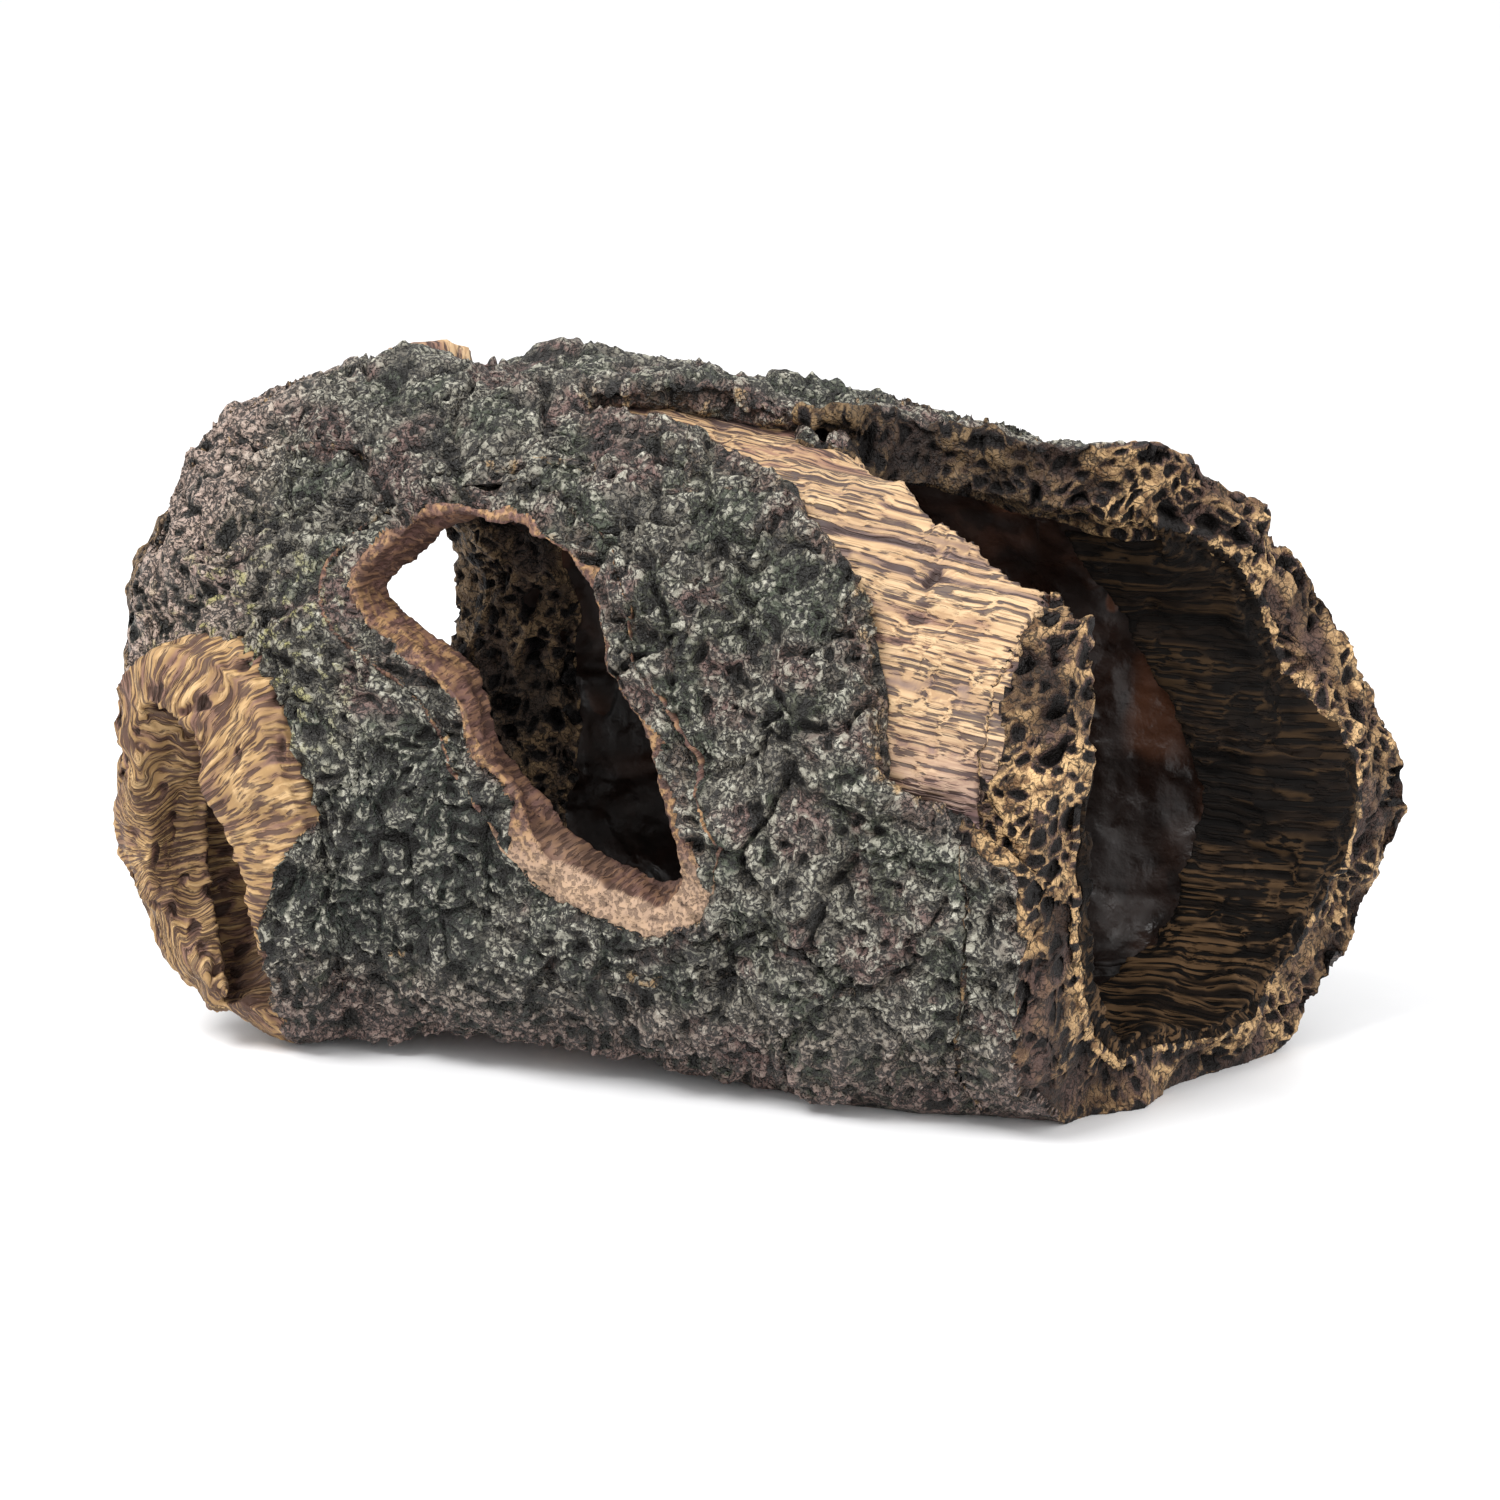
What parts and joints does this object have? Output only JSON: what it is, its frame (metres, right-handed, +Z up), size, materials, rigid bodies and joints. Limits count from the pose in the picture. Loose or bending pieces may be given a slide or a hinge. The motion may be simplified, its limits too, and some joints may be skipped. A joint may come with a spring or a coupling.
{
  "type": "aquarium cave ornament",
  "caption": "Hollow log cave for an aquarium: a cast resin trunk with bark, bare wood, a window, a knot hole, an open roof notch and a mouth at each end.",
  "frame": {"origin": "under the middle of the object's box, on the plane it rests on", "axes": "+Z up; +X along the trunk towards its large mouth; the window and knot hole face -Y"},
  "size_m": [0.2471, 0.1171, 0.1372],
  "materials": {
    "bark": "hand-painted cast resin bark: dark grey green, dry brushed light, purple brown in places",
    "wood": "hand-painted cast resin wood grain, tan over brown",
    "bare_wood": "hand-painted cast resin wood, ochre over purple brown",
    "rim": "hand-painted cast resin, pitted dark brown with tan edges",
    "throat": "hand-painted cast resin, dark grooved wood"
  },
  "bodies": {
    "root": {"base": "wood", "front_wall": "wood", "rear_wall": "wood", "bark_front_left": "bark", "bark_front_right": "bark", "bark_skirt": "bark", "bark_crown": "bark", "bark_ridge": "bark", "bark_rear_upper": "bark", "bark_rear_lower": "bark", "window_lip": "bare_wood", "knot_collar": "bare_wood", "right_rim": "rim", "left_rim": "rim", "right_throat": "throat", "left_throat": "throat"}
  },
  "joints": []
}
